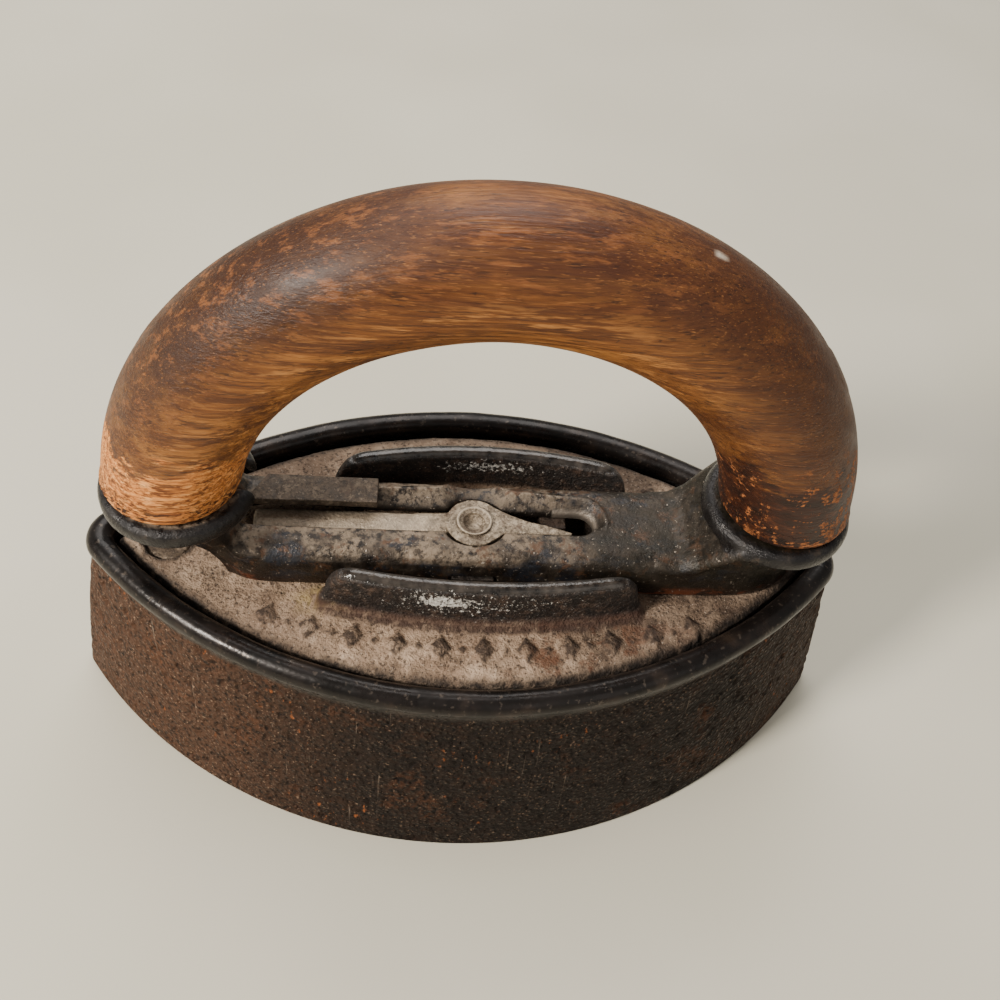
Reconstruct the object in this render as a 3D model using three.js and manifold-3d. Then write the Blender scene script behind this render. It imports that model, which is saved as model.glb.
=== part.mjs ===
// Double-pointed cold-handle sad iron: cast sole with a filled cavity, and a lift-off wood bow handle.
// Millimetres, +Z up, X along the sole, origin at the centre of the flat ironing face.
import * as THREE from "three";
import { mergeVertices } from "three/addons/utils/BufferGeometryUtils.js";
import Module from "manifold-3d";

const wasm = await Module();
wasm.setup();

// driving dimensions
const GAP = 0.3;
const SOLE = { a: 80, b: 42, r: 4 };
const RIM = { a: 70.0, b: 33.1, r: 4.4 };
const BEAD_R = 2.45;
const BEAD_Z = 43.2;
const LEDGE_Z = 39.0;
const CAVITY = { a: 52, b: 25, r: 4 };
const CAVITY_FLOOR = 22;
const DECK_Z = 43.2;
const PLATE = { a: 66.7, b: 29.8, r: 0.9 };
const PLATE_SCREW_X = 57.5;
const RIB_Z = 54.2;
const RIB_X = 1.8;
const RIB_HALF = 29;
const FRAME_Y = 0.5;
const FRAME_HALF = 9.8;
const FRAME_CREST = 52.5;
const FRAME_DIP = 52.3;
const FRAME_LOW = 43.6;
const SHEET = 1.6;
const PAD_LEFT_X = -53.2;
const PAD_RIGHT_X = 55.3;
const PAD_R = 13.8;
const PAD_TOP = 62.5;
const PAD_LOW = 58.9;
const SLOT = { left: -46, right: 22.9, tailFront: -2.4, tailBack: 4.2, front: -2.2, back: 4.1, bulge: 6.2 };
const PIVOT = { x: -0.1, y: 0.4 };
const EYE_R = 5.4;
const LEVER_TOP = 51.6;
const LEVER_LOW = 48.8;
const TAIL_TOP = 50.4;
const BRIDGE = { x0: -4.1, x1: 3.9, z0: 45.9, z1: 47.2 };
const GRIP_X = (PAD_LEFT_X + PAD_RIGHT_X) / 2;
const GRIP = [[54.9, 62.8], [50.1, 95.7], [23.9, 113.5], [0, 113.5]];
const GRIP_FOOT_Z = PAD_TOP + GAP;
const GRIP_R_FOOT = 12.2;
const GRIP_R_TOP = 11.4;

// ---------- shared helpers ----------
function solidFrom(geometry) {
  const copy = geometry.clone();
  copy.deleteAttribute("normal");
  copy.deleteAttribute("uv");
  const merged = mergeVertices(copy, 1e-4);
  return new wasm.Manifold(new wasm.Mesh({
    numProp: 3,
    vertProperties: Float32Array.from(merged.attributes.position.array),
    triVerts: Uint32Array.from(merged.index.array),
  }));
}

function geometryFrom(solid) {
  const mesh = solid.getMesh();
  const geometry = new THREE.BufferGeometry();
  geometry.setAttribute("position", new THREE.BufferAttribute(Float32Array.from(mesh.vertProperties), 3));
  geometry.setIndex(Array.from(mesh.triVerts));
  geometry.computeVertexNormals();
  return geometry;
}

function signedVolume(positions, faces) {
  let total = 0;
  const corner = [0, 1, 2].map(() => new THREE.Vector3());
  for (let i = 0; i < faces.length; i += 3) {
    corner.forEach((v, k) => v.fromArray(positions, faces[i + k] * 3));
    total += corner[0].dot(corner[1].clone().cross(corner[2]));
  }
  return total;
}

// closed skin through rings of equal point count, capped at both ends
function loft(rings) {
  const positions = [];
  const faces = [];
  const n = rings[0].length;
  rings.forEach((ring) => ring.forEach((p) => positions.push(p[0], p[1], p[2])));
  for (let k = 0; k + 1 < rings.length; k++) {
    for (let i = 0; i < n; i++) {
      const j = (i + 1) % n;
      const [p, q, u, v] = [k * n + i, k * n + j, (k + 1) * n + i, (k + 1) * n + j];
      faces.push(p, q, v, p, v, u);
    }
  }
  [0, rings.length - 1].forEach((k) => {
    const centre = positions.length / 3;
    const mean = [0, 1, 2].map((c) => rings[k].reduce((s, p) => s + p[c], 0) / n);
    positions.push(...mean);
    for (let i = 0; i < n; i++) {
      const [p, q] = [k * n + i, k * n + (i + 1) % n];
      if (k === 0) faces.push(centre, q, p);
      else faces.push(centre, p, q);
    }
  });
  if (signedVolume(positions, faces) < 0) {
    for (let i = 0; i < faces.length; i += 3) [faces[i], faces[i + 1]] = [faces[i + 1], faces[i]];
  }
  const geometry = new THREE.BufferGeometry();
  geometry.setAttribute("position", new THREE.Float32BufferAttribute(positions, 3));
  geometry.setIndex(faces);
  return solidFrom(geometry);
}

// pointed oval of two arcs with blunted tips
function pointedOval({ a, b, r }, arcSteps = 18, tipSteps = 4) {
  const big = ((a - r) ** 2 + b * b - r * r) / (2 * (b - r));
  const start = Math.atan2(big - b, a - r);
  const points = [];
  const arc = (cx, cy, radius, from, to, steps) => {
    for (let i = 0; i < steps; i++) {
      const t = from + ((to - from) * i) / steps;
      points.push([cx + radius * Math.cos(t), cy + radius * Math.sin(t)]);
    }
  };
  arc(0, b - big, big, start, Math.PI - start, arcSteps);
  arc(r - a, 0, r, Math.PI - start, Math.PI + start, tipSteps);
  arc(0, big - b, big, Math.PI + start, 2 * Math.PI - start, arcSteps);
  arc(a - r, 0, r, -start, start, tipSteps);
  return points;
}

function ovalRing(shape, inset, z) {
  const inner = { a: shape.a - inset, b: shape.b - inset, r: Math.max(shape.r - inset, 0.6) };
  return pointedOval(inner).map(([x, y]) => [x, y, z]);
}

function prism(points, z0, z1) {
  const shape = new THREE.Shape(points.map(([x, y]) => new THREE.Vector2(x, y)));
  const geometry = new THREE.ExtrudeGeometry(shape, { depth: z1 - z0, bevelEnabled: false, curveSegments: 12 });
  geometry.translate(0, 0, z0);
  return solidFrom(geometry);
}

function block(x0, x1, y0, y1, z0, z1) {
  const geometry = new THREE.BoxGeometry(x1 - x0, y1 - y0, z1 - z0);
  geometry.translate((x0 + x1) / 2, (y0 + y1) / 2, (z0 + z1) / 2);
  return solidFrom(geometry);
}

// turned solid from [radius, z] pairs that start and end on the axis
function turned(profile, x, y, segments = 28) {
  const geometry = new THREE.LatheGeometry(profile.map(([r, z]) => new THREE.Vector2(r, z)), segments);
  geometry.rotateX(Math.PI / 2);
  geometry.translate(x, y, 0);
  geometry.deleteAttribute("normal");
  geometry.deleteAttribute("uv");
  const merged = mergeVertices(geometry, 1e-4);
  const index = Array.from(merged.index.array);
  const position = Array.from(merged.attributes.position.array);
  const kept = [];
  for (let i = 0; i < index.length; i += 3) {
    const [p, q, u] = [index[i], index[i + 1], index[i + 2]];
    if (p !== q && q !== u && p !== u) kept.push(p, q, u);
  }
  if (signedVolume(position, kept) < 0) {
    for (let i = 0; i < kept.length; i += 3) [kept[i], kept[i + 1]] = [kept[i + 1], kept[i]];
  }
  merged.setIndex(kept);
  return solidFrom(merged);
}

function pin(x, y, radius, z0, z1, segments = 24) {
  return turned([[0, z0], [radius, z0], [radius, z1], [0, z1]], x, y, segments);
}

function smooth(t) {
  const s = Math.min(1, Math.max(0, t));
  return s * s * (3 - 2 * s);
}

const group = new THREE.Group();
group.name = "clothes_iron";

function addPart(name, solid, color, roughness, metalness) {
  const mesh = new THREE.Mesh(geometryFrom(solid), new THREE.MeshStandardMaterial({ color, roughness, metalness }));
  mesh.name = name;
  group.add(mesh);
}

// ---------- cast sole shell ----------
function soleBody() {
  const rings = [
    ovalRing(SOLE, 0.7, 0),
    ovalRing(SOLE, 0.0, 0.9),
    ovalRing({ a: 76.6, b: 39.0, r: 4.2 }, 0, 20),
    ovalRing({ a: 72.3, b: 35.4, r: 4.6 }, 0, 40.2),
  ];
  for (let i = 0; i <= 7; i++) {
    const t = THREE.MathUtils.degToRad(-25 + (205 * i) / 7);
    rings.push(ovalRing(RIM, -BEAD_R * Math.cos(t), BEAD_Z + BEAD_R * Math.sin(t)));
  }
  rings.push(ovalRing(RIM, BEAD_R, LEDGE_Z));
  rings.push(ovalRing(CAVITY, 0, LEDGE_Z));
  rings.push(ovalRing(CAVITY, 1.5, CAVITY_FLOOR));
  let body = loft(rings);
  [-1, 1].forEach((side) => {
    body = body.subtract(pin(side * PLATE_SCREW_X, 0, 2.5, 15, LEDGE_Z + 1));
  });
  return body;
}

function insulatingFiller() {
  return loft([
    ovalRing(CAVITY, 1.5 + GAP + 0.1, CAVITY_FLOOR + GAP),
    ovalRing(CAVITY, GAP + 0.1, LEDGE_Z - GAP),
  ]);
}

// ---------- cast top plate ----------
// crescent wall standing on the deck beside the handle frame
function deckRib(side) {
  const rings = [];
  const half = [1, 0.99, 0.97, 0.94, 0.9, 0.85, 0.79, 0.65, 0.5, 0.34, 0.17];
  [...half.map((t) => -t), 0, ...half.reverse()].forEach((t) => {
    const x = RIB_X + RIB_HALF * t;
    const y = 12.3 + (side > 0 ? 4.2 : 3.2) * (1 - t * t);
    const near = Math.min(1, (1 - Math.abs(t)) / 0.2);
    const rise = (RIB_Z - DECK_Z) * (0.24 + 0.76 * Math.sqrt(1 - (1 - near) ** 2));
    const z = DECK_Z + rise;
    rings.push([
      [x, side * (y - 1.6), DECK_Z - 0.8],
      [x, side * (y + 1.7), DECK_Z - 0.8],
      [x, side * (y + 1.5), z - 1.6],
      [x, side * (y + 1.2), z - 0.4],
      [x, side * (y + 0.6), z],
      [x, side * (y - 0.5), z],
      [x, side * (y - 1.1), z - 0.5],
      [x, side * (y - 1.3), z - 1.4],
    ]);
  });
  return loft(rings);
}

function topPlate() {
  let plate = loft([
    ovalRing(PLATE, 0.3, LEDGE_Z + GAP),
    ovalRing(PLATE, 0, LEDGE_Z + GAP + 0.4),
    ovalRing(PLATE, 0, DECK_Z - 1.0),
    ovalRing(PLATE, 0.9, DECK_Z - 0.1),
    ovalRing(PLATE, 2.2, DECK_Z),
  ]);
  plate = plate.add(deckRib(1)).add(deckRib(-1));
  [-1, 1].forEach((side) => {
    plate = plate.subtract(pin(side * PLATE_SCREW_X, 0, 2.5, LEDGE_Z - 1, DECK_Z + 1));
    plate = plate.subtract(pin(side * PLATE_SCREW_X, 0, 4.5, DECK_Z - 2.4, DECK_Z + 1));
  });
  return plate.subtract(block(12.7, 18.3, 4.0, 7.4, 41.9, DECK_Z + 1));
}

function plateScrew(side) {
  const [z0, z1] = [DECK_Z - 2.1, DECK_Z - 0.7];
  const head = turned([[0, 16], [1.6, 16], [2.2, 17.5], [2.2, z0], [4.1, z0], [4.2, z1 - 0.4], [3.8, z1], [0, z1]],
    side * PLATE_SCREW_X, 0);
  const slot = block(side * PLATE_SCREW_X - 3, side * PLATE_SCREW_X + 3, -0.4, 0.4, z1 - 0.5, z1 + 1);
  return head.subtract(slot);
}

// hooked lug that the latch nose slides under
function catchLug() {
  return block(13, 18, 4.3, 7.1, 42.2, 47.9).add(block(13, 18, 2.5, 4.5, 46.8, 47.9));
}

// ---------- pressed steel handle frame ----------
function padX(side) {
  return side < 0 ? PAD_LEFT_X : PAD_RIGHT_X;
}

function frameHalfWidth(x) {
  if (x <= 46) return FRAME_HALF;
  return FRAME_HALF * Math.sqrt(Math.max(0, 1 - ((x - 46) / 17.5) ** 2));
}

function frameTop(x) {
  const climb = x < 0 ? smooth((-x - 42.5) / 6) : smooth((x - 38) / 11);
  return FRAME_CREST + climb * (PAD_TOP - FRAME_CREST);
}

// one section across the trough, shrunk inward by the sheet thickness for the inside
function frameSection(x, inset, low) {
  const half = Math.max(frameHalfWidth(x) - inset, 0.3);
  const top = frameTop(x) - inset;
  const dip = (FRAME_CREST - FRAME_DIP) * (1 - smooth((Math.abs(x) - 28) / 12)) * Math.min(1, half / 8);
  const round = Math.min(3.6 - inset, half * 0.8);
  const points = [];
  for (let i = 0; i <= 4; i++) {
    const t = Math.PI - (Math.PI / 2) * (i / 4);
    points.push([FRAME_Y - half + round + round * Math.cos(t), top - round + round * Math.sin(t)]);
  }
  const flat = half - round;
  [-0.55, 0, 0.55].forEach((k) => points.push([FRAME_Y + flat * k, top - dip * (1 - k * k * 0.6)]));
  for (let i = 0; i <= 4; i++) {
    const t = Math.PI / 2 - (Math.PI / 2) * (i / 4);
    points.push([FRAME_Y + half - round + round * Math.cos(t), top - round + round * Math.sin(t)]);
  }
  points.push([FRAME_Y + half, low], [FRAME_Y, low], [FRAME_Y - half, low]);
  return points.map(([y, z]) => [x, y, z]);
}

function frameSkin(inset, x0, x1, low) {
  const stations = [x0];
  [-50, -48.5, -47.5, -46.2, -44.8, -42.5, -36, -28, 0, 28, 38, 40, 42, 44, 46, 49, 52, 55, 57, 59, 61, 62].forEach((x) => {
    if (x > x0 + 0.5 && x < x1 - 0.3) stations.push(x);
  });
  stations.push(x1);
  return loft(stations.map((x) => frameSection(x, inset, low)));
}

function padOuter(side) {
  const [r, z] = [PAD_R, PAD_TOP];
  return turned([[0, PAD_LOW], [r - 0.4, PAD_LOW], [r, PAD_LOW + 0.5], [r, z - 1.6], [r - 0.35, z - 0.7],
    [r - 1.1, z - 0.1], [r - 2.0, z], [0, z]], padX(side), 0, 40);
}

function padInner(side) {
  const [r, z] = [PAD_R - SHEET, PAD_TOP - SHEET];
  return turned([[0, PAD_LOW - 1], [r, PAD_LOW - 1], [r, z - 1.2], [r - 1.2, z], [0, z]], padX(side), 0, 40);
}

function slotOutline() {
  const points = [];
  const { left, right, tailFront, tailBack, front, back } = SLOT;
  const bulgeR = SLOT.bulge;
  const bulge = (y) => Math.sqrt(bulgeR ** 2 - (y - PIVOT.y) ** 2);
  points.push([left, tailFront]);
  const arc = (from, to, steps) => {
    for (let i = 0; i <= steps; i++) {
      const t = from + ((to - from) * i) / steps;
      points.push([PIVOT.x + bulgeR * Math.cos(t), PIVOT.y + bulgeR * Math.sin(t)]);
    }
  };
  const frontLeft = Math.atan2(tailFront - PIVOT.y, -bulge(tailFront));
  const frontRight = Math.atan2(front - PIVOT.y, bulge(front));
  arc(frontLeft, frontRight, 12);
  const mid = (front + back) / 2;
  const endR = (back - front) / 2;
  for (let i = 0; i <= 10; i++) {
    const t = -Math.PI / 2 + (Math.PI * i) / 10;
    points.push([right - endR + endR * Math.cos(t), mid + endR * Math.sin(t)]);
  }
  const backRight = Math.atan2(back - PIVOT.y, bulge(back));
  const backLeft = Math.atan2(tailBack - PIVOT.y, -bulge(tailBack));
  arc(backRight, backLeft, 12);
  points.push([left, tailBack]);
  return points;
}

function handleFrame() {
  const troughOuter = frameSkin(0, -52.5, 63, FRAME_LOW);
  const troughInner = frameSkin(SHEET, -60, 61.5, FRAME_LOW - 2);
  let shell = troughOuter.add(padOuter(-1)).add(padOuter(1));
  shell = shell.subtract(troughInner);
  [-1, 1].forEach((side) => {
    shell = shell.subtract(padInner(side).subtract(troughOuter));
  });
  const lift = new THREE.Shape([[-62, 40], [-45.2, 40], [-45.6, 44.2], [-46.8, 47.2], [-48.6, 50.6], [-50.8, 53.6], [-53.6, 56.2], [-62, 57.2]]
    .map(([x, z]) => new THREE.Vector2(x, z)));
  const wedge = new THREE.ExtrudeGeometry(lift, { depth: 40, bevelEnabled: false });
  wedge.rotateX(Math.PI / 2);
  wedge.translate(0, 20, 0);
  shell = shell.subtract(solidFrom(wedge));
  shell = shell.subtract(prism(slotOutline(), 47.5, 64));
  shell = shell.subtract(block(BRIDGE.x0 - GAP, BRIDGE.x1 + GAP, -20, 20, BRIDGE.z0 - GAP, BRIDGE.z1 + GAP));
  [-1, 1].forEach((side) => {
    shell = shell.subtract(pin(padX(side), 0, 2.5, 50, 70));
  });
  guideRivetSpots.forEach(([x, y]) => {
    shell = shell.subtract(pin(x, y, 1.5, 47, 56, 16));
  });
  return shell;
}

// ---------- guide plate beside the latch tail ----------
const guideRivetSpots = [[-35, 5.9], [-23, 5.9]];
const GUIDE_LOW = FRAME_CREST + GAP;
const GUIDE_TOP = GUIDE_LOW + SHEET;

function guidePlate() {
  let plate = prism([[-42.4, 1.7], [-18.3, 2.0], [-18.3, 7.9], [-39, 7.9]], GUIDE_LOW, GUIDE_TOP);
  guideRivetSpots.forEach(([x, y]) => {
    plate = plate.subtract(pin(x, y, 1.5, GUIDE_LOW - 1, GUIDE_TOP - 0.5, 16));
  });
  return plate;
}

function guideRivet([x, y]) {
  const under = 50.3;
  return turned([[0, under - 1], [1.2, under - 1], [1.7, under - 0.4], [1.7, under], [1.2, under],
    [1.2, GUIDE_TOP - 0.8], [0, GUIDE_TOP - 0.7]], x, y, 16);
}

// ---------- latch lever and its pivot ----------
function latchLever() {
  const eye = pin(PIVOT.x, PIVOT.y, EYE_R, LEVER_LOW, LEVER_TOP, 40);
  const finger = prism([[2.4, -4.4], [4.2, -3.1], [5.6, -2.0], [8.0, -1.9], [18.2, -1.9], [18.5, -1.3], [15, -0.1],
    [10, 1.2], [7.0, 2.4], [5.0, 3.5], [2.4, 5.1]], LEVER_LOW, LEVER_TOP);
  const tailRings = [];
  [-41.2, -40.6, -38, -30, -20, -12, -6.5, -4.4].forEach((x) => {
    const shrink = x < -41 ? 0.5 : 0;
    const lift = (LEVER_TOP - TAIL_TOP) * smooth((x + 10) / 5);
    const ring = [];
    for (let i = 0; i <= 8; i++) {
      const t = (Math.PI * i) / 8;
      const y = 0.85 + (2.75 - shrink) * Math.cos(t);
      ring.push([x, y, 48.8 + (TAIL_TOP + lift - 48.8 - shrink * 0.6) * Math.sin(t) ** 0.7]);
    }
    ring.push([x, -1.9 + shrink, 47.6], [x, 0.85, 47.6], [x, 3.6 - shrink, 47.6]);
    tailRings.push(ring);
  });
  let lever = eye.add(loft(tailRings)).add(finger);
  lever = lever.add(block(13.5, 17.5, -1.9, -0.5, 45.0, 49.2)).add(block(13.5, 17.5, -0.9, 1.6, 45.0, 46.4));
  lever = lever.subtract(block(-34.6, -32.8, -3, -1.1, 46, 51.5));
  return lever.subtract(pin(PIVOT.x, PIVOT.y, 2.35, 44, 53));
}

function pivotBridge() {
  const { x0, x1, z0, z1 } = BRIDGE;
  return block(x0, x1, FRAME_Y - 10.2, FRAME_Y + 10.2, z0, z1).subtract(pin(PIVOT.x, PIVOT.y, 2.3, 44, 49));
}

function pivotRivet() {
  const top = LEVER_TOP + GAP;
  return turned([[0, 44.5], [3.3, 44.5], [3.4, 45.5], [2.0, 45.5], [2.0, top], [3.4, top], [3.4, top + 0.5],
    [2.9, top + 0.7], [2.6, top + 0.65], [0.9, top - 1.6], [0, top - 1.7]], PIVOT.x, PIVOT.y, 32);
}

function pivotWasher() {
  return pin(PIVOT.x, PIVOT.y, 4.0, 47.5, 48.3, 28).subtract(pin(PIVOT.x, PIVOT.y, 2.35, 46, 49));
}

// ---------- wood bow grip and its screws ----------
function gripPoint(t) {
  const weight = [(1 - t) ** 3, 3 * t * (1 - t) ** 2, 3 * t * t * (1 - t), t ** 3];
  return [0, 1].map((c) => weight.reduce((sum, w, i) => sum + w * GRIP[i][c], 0));
}

function gripTangent(t) {
  const weight = [(1 - t) ** 2, 2 * t * (1 - t), t * t];
  const v = [0, 1].map((c) => weight.reduce((sum, w, i) => sum + w * (GRIP[i + 1][c] - GRIP[i][c]), 0));
  const length = Math.hypot(v[0], v[1]);
  return [v[0] / length, v[1] / length];
}

function woodGrip() {
  const steps = 13;
  const around = 26;
  const addRing = (side, t, radius, level) => {
    const [cx, cz] = gripPoint(t);
    const [tx, tz] = gripTangent(t);
    const lean = smooth(t / 0.22);
    const out = Math.atan2(-tx * lean, tz);
    const ring = [];
    for (let i = 0; i < around; i++) {
      const a = (2 * Math.PI * i) / around;
      const across = radius * Math.cos(a);
      const z = (level === null ? cz : level) + across * Math.sin(out);
      ring.push([GRIP_X + side * (cx + across * Math.cos(out)), radius * Math.sin(a), z]);
    }
    return ring;
  };
  const arm = (side) => {
    const list = [addRing(side, 0, GRIP_R_FOOT - 0.9, GRIP_FOOT_Z), addRing(side, 0, GRIP_R_FOOT, GRIP_FOOT_Z + 1)];
    for (let i = 1; i <= steps; i++) {
      const t = 0.03 + (0.97 * i) / steps;
      list.push(addRing(side, t, GRIP_R_FOOT + (GRIP_R_TOP - GRIP_R_FOOT) * (1 - (1 - t) ** 2), null));
    }
    return list;
  };
  const rings = [...arm(-1), ...arm(1).reverse().slice(1)];
  let wood = loft(rings);
  [-1, 1].forEach((side) => {
    wood = wood.subtract(pin(padX(side), 0, 2.4, GRIP_FOOT_Z - 2, 83));
  });
  return wood;
}

function gripScrew(side) {
  const under = PAD_TOP - SHEET;
  return turned([[0, under - 3.2], [2.6, under - 3.2], [3.9, under - 2.5], [3.9, under - 1.5], [2.1, under - 1.5],
    [2.1, 80.5], [0.4, 82.5], [0, 82.5]], padX(side), 0, 20);
}

function screwWasher(side) {
  const under = PAD_TOP - SHEET;
  return pin(padX(side), 0, 4.7, under - 1.2, under - 0.3).subtract(pin(padX(side), 0, 2.4, under - 2, under + 1));
}

addPart("sole_body", soleBody(), 0x3a2c24, 0.8, 0.6);
addPart("insulating_filler", insulatingFiller(), 0xb9b1a2, 0.95, 0);
addPart("top_plate", topPlate(), 0x7a6456, 0.85, 0.4);
addPart("top_plate_screw_left", plateScrew(-1), 0x8f8478, 0.6, 0.7);
addPart("top_plate_screw_right", plateScrew(1), 0x8f8478, 0.6, 0.7);
addPart("catch_lug", catchLug(), 0x4a3c33, 0.7, 0.7);
addPart("handle_frame", handleFrame(), 0x3d3a3a, 0.5, 0.8);
addPart("wood_grip", woodGrip(), 0x7a4a2c, 0.45, 0);
addPart("grip_screw_left", gripScrew(-1), 0x55504a, 0.5, 0.8);
addPart("grip_screw_right", gripScrew(1), 0x55504a, 0.5, 0.8);
addPart("screw_washer_left", screwWasher(-1), 0x5b5650, 0.5, 0.8);
addPart("screw_washer_right", screwWasher(1), 0x5b5650, 0.5, 0.8);
addPart("guide_plate", guidePlate(), 0x5f554a, 0.6, 0.7);
addPart("guide_rivet_outer", guideRivet(guideRivetSpots[0]), 0x5f554a, 0.6, 0.7);
addPart("guide_rivet_inner", guideRivet(guideRivetSpots[1]), 0x5f554a, 0.6, 0.7);
addPart("pivot_bridge", pivotBridge(), 0x45403c, 0.6, 0.7);
addPart("pivot_rivet", pivotRivet(), 0x70675d, 0.5, 0.8);
addPart("pivot_washer", pivotWasher(), 0x6a625a, 0.5, 0.8);
addPart("latch_lever", latchLever(), 0x786c5f, 0.6, 0.7);

export default group;
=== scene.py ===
import math

import bmesh
import bpy
import numpy as np
from mathutils import Matrix, Vector


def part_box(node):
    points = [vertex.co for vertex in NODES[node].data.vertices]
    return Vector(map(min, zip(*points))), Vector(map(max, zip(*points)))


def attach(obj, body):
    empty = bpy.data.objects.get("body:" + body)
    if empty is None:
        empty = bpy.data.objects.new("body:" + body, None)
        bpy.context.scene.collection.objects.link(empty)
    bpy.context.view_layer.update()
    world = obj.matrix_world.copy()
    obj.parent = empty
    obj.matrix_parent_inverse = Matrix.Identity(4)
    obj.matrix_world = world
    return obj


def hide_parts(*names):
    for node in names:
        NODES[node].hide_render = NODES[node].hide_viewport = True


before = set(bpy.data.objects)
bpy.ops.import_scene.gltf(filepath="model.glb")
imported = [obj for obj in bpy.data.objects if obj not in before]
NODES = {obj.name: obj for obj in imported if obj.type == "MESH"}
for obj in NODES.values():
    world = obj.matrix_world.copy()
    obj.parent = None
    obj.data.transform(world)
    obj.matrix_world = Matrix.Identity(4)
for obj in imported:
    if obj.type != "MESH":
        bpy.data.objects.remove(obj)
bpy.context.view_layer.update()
MM = 0.001

# dimensions shared with the CAD, in millimetres; an outline is (half length, half width, tip radius)
SOLE = (80.0, 42.0, 4.0)
WAIST = (76.6, 39.0, 4.2)
SHOULDER = (72.3, 35.4, 4.6)
WAIST_Z, SHOULDER_Z = 20.0, 40.2
RIM = (70.0, 33.1, 4.4)
BEAD_R = 2.45
BEAD_Z = 43.2
LEDGE_Z = 39.0
CAVITY = (52.0, 25.0, 4.0)
CAVITY_FLOOR = 22.0
DECK_Z = 43.2
PLATE = (66.7, 29.8, 0.9)
RIB_X, RIB_HALF, RIB_Y = 1.8, 29.0, 12.3
RIB_BOW = {-1: 3.2, 1: 4.2}
RIB_TOP = 54.2
SCREW_X, SCREW_HOLE_R, WELL_R = 57.5, 2.5, 4.7
SCREW_HOLE_Z = (15.0, 42.0)
FRAME_Y, FRAME_CREST, PAD_TOP = 0.5, 52.5, 62.5
PIVOT = (-0.1, 0.4)
SLOT_BACK, SLOT_FRONT, SLOT_RIGHT, SLOT_BULGE = 4.1, -2.2, 22.9, 6.2
LEVER_TOP = 51.6
PAD_X = {-1: -53.2, 1: 55.3}
PAD_R = 13.8
GRIP = ((54.9, 62.8), (50.1, 95.7), (23.9, 113.5), (0.0, 113.5))
GRIP_X = 1.05
GRIP_FOOT_Z = 62.8
GRIP_R_FOOT, GRIP_R_TOP = 12.2, 11.4
GRIP_BORE_R = 2.4
GRIP_BORE_Z = (83.0, 70.0, 62.8)

# values that only the visible shapes have, with lengths in millimetres
SOLE_COUNT = 620
GRIP_COUNT = 150
# (inset, height) steps round the lower edge of the sole, then of the grip's feet
FOOT_ROUND = ((0.75, 0.0), (0.36, 0.12), (0.12, 0.42), (0.02, 0.9))
GRIP_FOOT_ROUND = ((1.5, 0.0), (0.9, 0.12), (0.4, 0.45), (0.1, 0.95), (0.0, 1.6))
BAND_X, BAND_Y, BAND_REACH, BAND_BOW, BAND_LEAN, BAND_COUNT = 2.0, -22.4, 39.5, 6.0, 0.30, 11
LOZENGE_POWER = 2.4
# (place along the frame, half width) where it widens into the pad, for each end
PAD_FLARE = {-1: ((-39.0, 9.6), (-41.5, 9.9), (-43.5, 10.5), (-45.5, 11.5), (-47.0, 12.2), (-48.3, 12.7)),
             1: ((34.0, 9.6), (38.0, 9.9), (41.0, 10.4), (44.0, 11.3), (47.0, 12.2), (50.0, 13.0))}


# ---------- small geometry tools ----------
def smooth(t):
    t = np.clip(t, 0, 1)
    return t * t * (3 - 2 * t)


def lattice(ix, iy, iz, seed):
    n = (ix * 374761393 + iy * 668265263 + iz * 1440662683 + seed * 974711) & 0xFFFFFFFF
    n = ((n ^ (n >> 13)) * 1274126177) & 0xFFFFFFFF
    n = ((n ^ (n >> 15)) * 2246822519) & 0xFFFFFFFF
    return ((n ^ (n >> 16)) & 0xFFFF) / 32767.5 - 1


def noise(points, size, seed=0):
    """Smooth noise from -1 to 1 at points in mm; size is the feature size in mm, one number or three."""
    q = points / np.asarray(size, float)
    cell = np.floor(q).astype(np.int64)
    f = q - cell
    u = f * f * (3 - 2 * f)
    total = 0
    for dx in (0, 1):
        for dy in (0, 1):
            for dz in (0, 1):
                w = ((u[:, 0] if dx else 1 - u[:, 0]) * (u[:, 1] if dy else 1 - u[:, 1])
                     * (u[:, 2] if dz else 1 - u[:, 2]))
                total = total + w * lattice(cell[:, 0] + dx, cell[:, 1] + dy, cell[:, 2] + dz, seed)
    return total


def fractal(points, size, octaves, seed=0):
    total, weight, share = 0, 1.0, 0.0
    for k in range(octaves):
        total = total + weight * noise(points, np.asarray(size, float) / 2 ** k, seed + 17 * k)
        share += weight
        weight *= 0.55
    return total / share


def mesh_piece(name, verts_mm, faces):
    mesh = bpy.data.meshes.new(name)
    mesh.from_pydata([tuple(v) for v in np.asarray(verts_mm, float) * MM], [], [tuple(f) for f in faces])
    mesh.validate()
    mesh.update()
    obj = bpy.data.objects.new(name, mesh)
    bpy.context.scene.collection.objects.link(obj)
    return obj


def coords(obj):
    co = np.empty(len(obj.data.vertices) * 3)
    obj.data.vertices.foreach_get("co", co)
    return co.reshape(-1, 3) / MM


def normals(obj):
    n = np.empty(len(obj.data.vertices) * 3)
    obj.data.vertices.foreach_get("normal", n)
    return n.reshape(-1, 3)


def set_coords(obj, co_mm):
    obj.data.vertices.foreach_set("co", (co_mm * MM).ravel())
    obj.data.update()


def mark(obj, name, values):
    layer = obj.data.attributes.new(name, "FLOAT", "POINT")
    layer.data.foreach_set("value", np.asarray(values, np.float32))


def shade_smooth(obj):
    obj.data.polygons.foreach_set("use_smooth", np.ones(len(obj.data.polygons), bool))
    obj.data.update()


def applied(obj):
    """The object's modifiers become its mesh."""
    shown = obj.evaluated_get(bpy.context.evaluated_depsgraph_get())
    mesh = bpy.data.meshes.new_from_object(shown)
    obj.modifiers.clear()
    obj.data = mesh


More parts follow.
